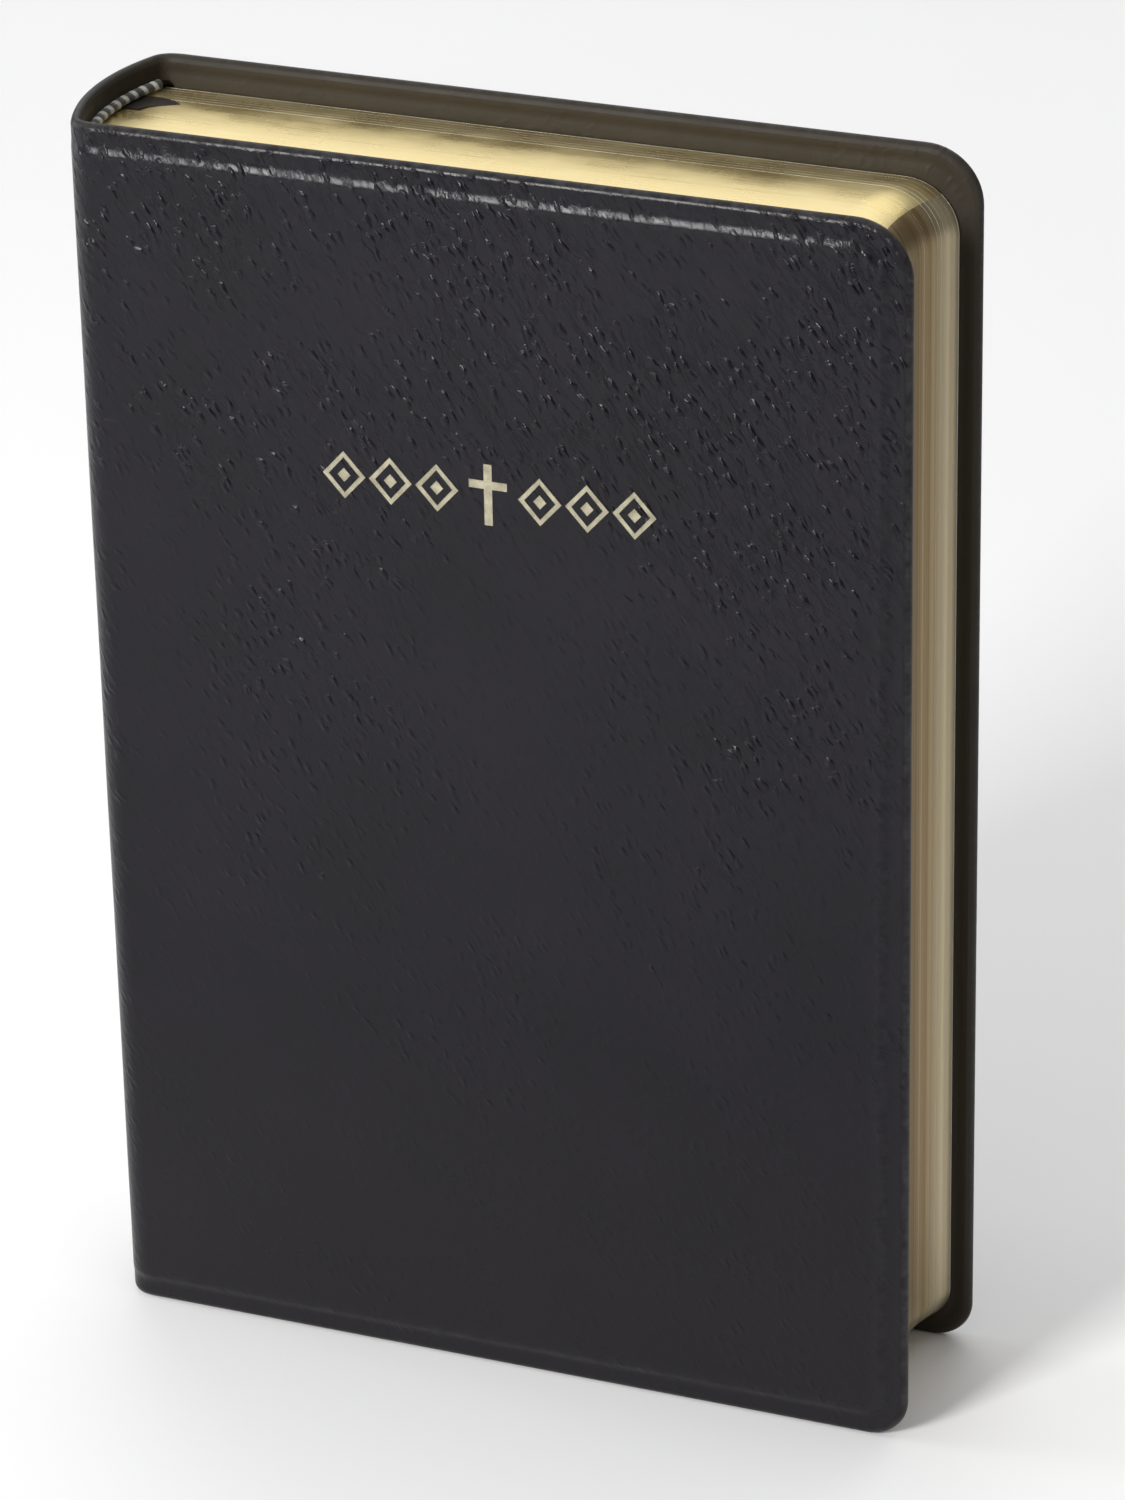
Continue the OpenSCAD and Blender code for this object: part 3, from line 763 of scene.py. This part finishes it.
def endpapers(side):
    """The pastedown, which crosses the joint, and the loose flyleaf."""
    way = 1 if side == "front" else -1
    lo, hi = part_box(f"{side}_flyleaf")
    outer, inner = (lo.y, hi.y) if side == "front" else (hi.y, lo.y)
    start = JOINT_X + 1.0 * MM
    layers = [(y, start, hi.x, lo.z, hi.z) for y in (outer, inner)]
    fly = leaf_stack(f"{side}_flyleaf_sheet", layers, (TURN_X, TURN_X + FLYLEAF_BEND),
                     (GILT, ENDPAPER, ENDPAPER))
    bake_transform(fly)
    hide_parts(f"{side}_flyleaf")
    lo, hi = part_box(f"{side}_pastedown")
    inner = hi.y if side == "front" else lo.y
    outer = way * (-HALF_T + COVER_T + 0.01 * MM)
    layers = [(y, start, hi.x, lo.z, hi.z) for y in (outer, inner)]
    bend = (start + 0.1 * MM, JOINT_X + 8 * MM)
    paste = leaf_stack(f"{side}_pastedown_sheet", layers, bend, (ENDPAPER,) * 3)
    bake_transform(paste)
    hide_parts(f"{side}_pastedown")


for book_side in ("front", "back"):
    endpapers(book_side)
    for number in range(1, MOVING + 1):
        turning_leaves(book_side, number)


# ---------------------------------------------------------------- head and tail bands

BEAD_R = 0.8 * MM
STITCH = 1.3 * MM
PALE_SHARE = 0.36             # part of each pair of stitches that the pale thread takes
SLANT = 0.25 * STITCH         # how far a stitch leans as it goes round the bead
SKIRT_T = 0.22 * MM
CLOTH = 2                     # material slot of the skirt, after the two threads


def end_band(node, out):
    """Rolled bead wound with slanting white and dark threads, over a skirt glued to the leaves' backs."""
    lo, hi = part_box(node)
    bead_z = (hi.z - BEAD_R) if out > 0 else (lo.z + BEAD_R)
    skirt_r = ARC_X - lo.x
    bead_mid = skirt_r - 0.125 * MM - BEAD_R
    sweep = math.asin(hi.y / skirt_r) - 0.01
    across, around = 300, 20
    verts, uvs, faces, slots = [], [], [], []
    length = 2 * sweep * bead_mid
    for i in range(across + 1):
        place = length * i / across
        a = -sweep + 2 * sweep * i / across
        for j in range(around):
            t = 2 * math.pi * j / around
            phase = place + SLANT * math.sin(t)
            bulge = 1 + 0.13 * abs(math.sin(math.pi * phase / STITCH)) - 0.10
            r = bead_mid + BEAD_R * bulge * math.cos(t)
            verts.append((ARC_X - r * math.cos(a), r * math.sin(a), bead_z + BEAD_R * bulge * math.sin(t)))
            uvs.append((place, t * BEAD_R))
    for i in range(across):
        place = length * (i + 0.5) / across
        for j in range(around):
            t = 2 * math.pi * (j + 0.5) / around
            nj = (j + 1) % around
            faces.append((i * around + j, (i + 1) * around + j, (i + 1) * around + nj, i * around + nj))
            slots.append(0 if ((place + SLANT * math.sin(t)) / (2 * STITCH)) % 1 < PALE_SHARE else 1)
    faces.append(list(range(around)))
    faces.append([across * around + j for j in range(around)])
    slots += [1, 1]
    base = len(verts)
    skirt = 60
    z_in, z_out = (lo.z, bead_z) if out > 0 else (hi.z, bead_z)
    for i in range(skirt + 1):
        a = -sweep + 2 * sweep * i / skirt
        inner_r = skirt_r - SKIRT_T
        for r, z in ((skirt_r, z_in), (skirt_r, z_out), (inner_r, z_out), (inner_r, z_in)):
            verts.append((ARC_X - r * math.cos(a), r * math.sin(a), z))
            uvs.append((skirt_r * a, z))
    for i in range(skirt):
        for j in range(4):
            nj = (j + 1) % 4
            faces.append((base + 4 * i + j, base + 4 * i + 4 + j, base + 4 * i + 4 + nj, base + 4 * i + nj))
            slots.append(CLOTH)
    faces.append([base + j for j in range(4)])
    faces.append([base + 4 * skirt + j for j in range(4)])
    slots += [CLOTH, CLOTH]
    obj = new_object(f"{node}_stitched", verts, faces, [WHITE_THREAD, DARK_THREAD, MULL], uvs, slots)
    finish_mesh(obj, 1e-8)
    mark_sharp(obj, 60)
    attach(obj, "root")
    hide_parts(node)


end_band("headband", 1)
end_band("tailband", -1)


# ---------------------------------------------------------------- ribbon marker

def ribbon_marker():
    """Satin ribbon: glued behind the leaves, over the head under the band, twisted in between two leaves."""
    lo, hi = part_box("ribbon_marker")
    half_w, thick = 3.0 * MM, 0.2 * MM
    back = float(back_x(RIBBON_Y))
    behind = back - 0.17 * MM
    top = LEAF_Z1 + 0.16 * MM
    glued_z = LEAF_Z1 - 13.5 * MM
    inset, end_z = hi.x - 2 * half_w, lo.z
    turn_r = 0.4 * MM
    flat = np.array([0, 1.0, 0])
    rows = []
    for t in np.linspace(0, 1, 8):
        rows.append((np.array([behind, RIBBON_Y, glued_z + t * (LEAF_Z1 - glued_z)]), flat))
    for t in np.linspace(0, 1, 8)[1:]:
        a = t * math.pi / 2
        centre = np.array([behind + turn_r * (1 - math.cos(a)), RIBBON_Y,
                           LEAF_Z1 - 0.24 * MM + turn_r * math.sin(a)])
        rows.append((centre, flat))
    start = np.array([behind + turn_r, RIBBON_Y, top])
    over = np.array([back + 2.5 * MM, RIBBON_Y, top])
    for t in np.linspace(0, 1, 6)[1:]:
        rows.append((start + (over - start) * t, flat))
    dive = np.array([inset + half_w, RIBBON_Y, LEAF_Z1 - 1.0 * MM])
    for t in np.linspace(0, 1, 14)[1:]:
        turn = smooth(t) * math.pi / 2
        centre = over + (dive - over) * t
        centre[2] = top - (top - dive[2]) * t ** 3
        across = np.array([math.sin(turn), math.cos(turn), 0])
        rows.append((centre, across))
    foot = np.array([inset + half_w, RIBBON_Y, end_z])
    for t in np.linspace(0, 1, 30)[1:]:
        rows.append((dive + (foot - dive) * t, np.array([1.0, 0, 0])))
    verts, uvs, faces = [], [], []
    centres = np.array([c for c, _ in rows])
    lengths = np.concatenate([[0], np.cumsum(np.linalg.norm(np.diff(centres, axis=0), axis=1))])
    cells = 8
    for k, (centre, across) in enumerate(rows):
        ahead = centres[min(k + 1, len(rows) - 1)] - centres[max(k - 1, 0)]
        normal = np.cross(across, ahead)
        normal = normal / np.linalg.norm(normal)
        for face in (0.5, -0.5):
            for j in range(cells + 1):
                v = -1 + 2 * j / cells
                slant = v * half_w if k == len(rows) - 1 else 0.0
                cut = np.array([0, 0, slant * 0.9])
                verts.append(centre + across * v * half_w + normal * thick * face + cut)
                uvs.append((lengths[k], v * half_w + face * MM))
    width = cells + 1
    for k in range(len(rows) - 1):
        a, b = k * 2 * width, (k + 1) * 2 * width
        for j in range(cells):
            faces.append((a + j, a + j + 1, b + j + 1, b + j))
            faces.append((a + width + j, b + width + j, b + width + j + 1, a + width + j + 1))
        faces.append((a, b, b + width, a + width))
        faces.append((a + cells, a + width + cells, b + width + cells, b + cells))
    for a in (0, (len(rows) - 1) * 2 * width):
        faces += [(a + j, a + j + 1, a + width + j + 1, a + width + j) for j in range(cells)]
    obj = new_object("ribbon_marker_satin", verts, faces, [RIBBON], uvs)
    finish_mesh(obj, 1e-8)
    mark_sharp(obj, 60)
    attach(obj, "root")
    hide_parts("ribbon_marker")


ribbon_marker()


# ---------------------------------------------------------------- foil ornament

def foil_ornament():
    """Foil lines pressed into the leather: each has a fine rim round a slightly sunken middle."""
    mesh = bpy.data.meshes.new("front_ornament_foil")
    bm = bmesh.new()
    bm.from_mesh(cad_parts["front_ornament"].data)
    bmesh.ops.remove_doubles(bm, verts=bm.verts, dist=1e-6)
    bmesh.ops.dissolve_limit(bm, angle_limit=math.radians(2), verts=bm.verts, edges=bm.edges)
    proud, sunk = -HALF_T - 0.03 * MM, -HALF_T + 0.10 * MM
    rim_w, slope_w, middle_drop = 0.05 * MM, 0.10 * MM, 0.02 * MM
    middle = (FOIL_LO.y + FOIL_HI.y) / 2
    for v in bm.verts:
        v.co.y = proud if v.co.y < middle else sunk
    bmesh.ops.recalc_face_normals(bm, faces=bm.faces)
    tops = [f for f in bm.faces if all(abs(v.co.y - proud) < 1e-7 for v in f.verts)]
    bmesh.ops.inset_region(bm, faces=tops, thickness=rim_w, depth=0.0, use_even_offset=True)
    tops = [f for f in tops if f.is_valid]
    bmesh.ops.inset_region(bm, faces=tops, thickness=slope_w, depth=-middle_drop, use_even_offset=True)
    bmesh.ops.recalc_face_normals(bm, faces=bm.faces)
    bm.to_mesh(mesh)
    bm.free()
    mesh.materials.append(FOIL)
    obj = bpy.data.objects.new("front_ornament_foil", mesh)
    bpy.context.scene.collection.objects.link(obj)
    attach(obj, "front_cover")
    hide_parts("front_ornament")


foil_ornament()


# ---------------------------------------------------------------- CAD pieces that stay as they are

def give(node, mat):
    """Sets the material of a CAD piece."""
    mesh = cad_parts[node].data
    mesh.materials.clear()
    mesh.materials.append(mat)


for node_name, node_material in (
    ("front_board", CARD), ("back_board", CARD), ("spine_inlay", CARD), ("spine_lining", KRAFT),
    ("mull_cloth", MULL), ("sewing_thread", LINEN),
):
    give(node_name, node_material)


# ---------------------------------------------------------------- floor, lights and camera

def floor():
    """Studio floor, six metres square."""
    half = 3.0
    cells = 12
    grid = np.linspace(-half, half, cells + 1)
    verts = [(x, y, 0.0) for y in grid for x in grid]
    row = cells + 1
    faces = [(j * row + i, j * row + i + 1, (j + 1) * row + i + 1, (j + 1) * row + i)
             for j in range(cells) for i in range(cells)]
    obj = new_object("studio_floor", verts, faces, [floor_material()])


def area_light(name, place, aim, size, power):
    """A white rectangular light that faces the aim."""
    data = bpy.data.lights.new(name, "AREA")
    data.shape = "RECTANGLE"
    data.size, data.size_y = size
    data.energy = power
    obj = bpy.data.objects.new(name, data)
    bpy.context.scene.collection.objects.link(obj)
    obj.location = place
    obj.rotation_euler = (Vector(aim) - Vector(place)).to_track_quat("-Z", "Y").to_euler()


def lights():
    """Soft key from above and in front, wide lights behind, above and at the left, brighter air above."""
    middle = (0.0, 0.0, COVER_H / 2)
    area_light("key_softbox", (-0.42, -1.13, 0.68), middle, (0.36, 0.24), 17)
    area_light("back_softbox", (-0.2, 1.1, 0.9), middle, (1.8, 0.9), 6)
    area_light("top_softbox", (0.1, 0.1, 1.5), middle, (1.2, 1.2), 4)
    area_light("left_softbox", (-1.4, -0.1, 0.5), middle, (0.6, 1.2), 9)
    world = bpy.data.worlds.new("studio_air")
    world.use_nodes = True
    tree = world.node_tree
    direction = tree.nodes.new("ShaderNodeTexCoord").outputs["Generated"]
    height = tree.nodes.new("ShaderNodeSeparateXYZ")
    tree.links.new(direction, height.inputs[0])
    ramp = tree.nodes.new("ShaderNodeMapRange")
    tree.links.new(height.outputs["Z"], ramp.inputs["Value"])
    for key, value in (("From Min", -0.2), ("From Max", 0.7), ("To Min", 0.10), ("To Max", 0.42)):
        ramp.inputs[key].default_value = value
    background = tree.nodes["Background"]
    background.inputs["Color"].default_value = (1.0, 1.0, 1.0, 1.0)
    tree.links.new(ramp.outputs["Result"], background.inputs["Strength"])
    bpy.context.scene.world = world
    bpy.context.scene.view_settings.view_transform = "Standard"


def camera():
    """Seen from the front, a little to the right and well above, with a long lens."""
    azimuth, elevation, roll = math.radians(22.13), math.radians(25.87), math.radians(-1.21)
    distance, lens = 1.043, 152.7
    aim = Vector((JOINT_X + 0.0745, 0.0, 0.1084))
    level = math.cos(elevation)
    back = Vector((math.sin(azimuth) * level, -math.cos(azimuth) * level, math.sin(elevation)))
    right = Vector((math.cos(azimuth), math.sin(azimuth), 0.0))
    up = back.cross(right)
    turned_right = math.cos(roll) * right + math.sin(roll) * up
    turned_up = -math.sin(roll) * right + math.cos(roll) * up
    data = bpy.data.cameras.new("camera")
    data.sensor_fit = "VERTICAL"
    data.sensor_height = 36.0
    data.lens = lens
    data.clip_start, data.clip_end = 0.05, 20.0
    data.dof.use_dof = False
    obj = bpy.data.objects.new("camera", data)
    bpy.context.scene.collection.objects.link(obj)
    axes = Matrix((turned_right, turned_up, back)).transposed()
    obj.matrix_world = Matrix.Translation(aim + back * distance) @ axes.to_4x4()
    bpy.context.scene.camera = obj


floor()
lights()
camera()
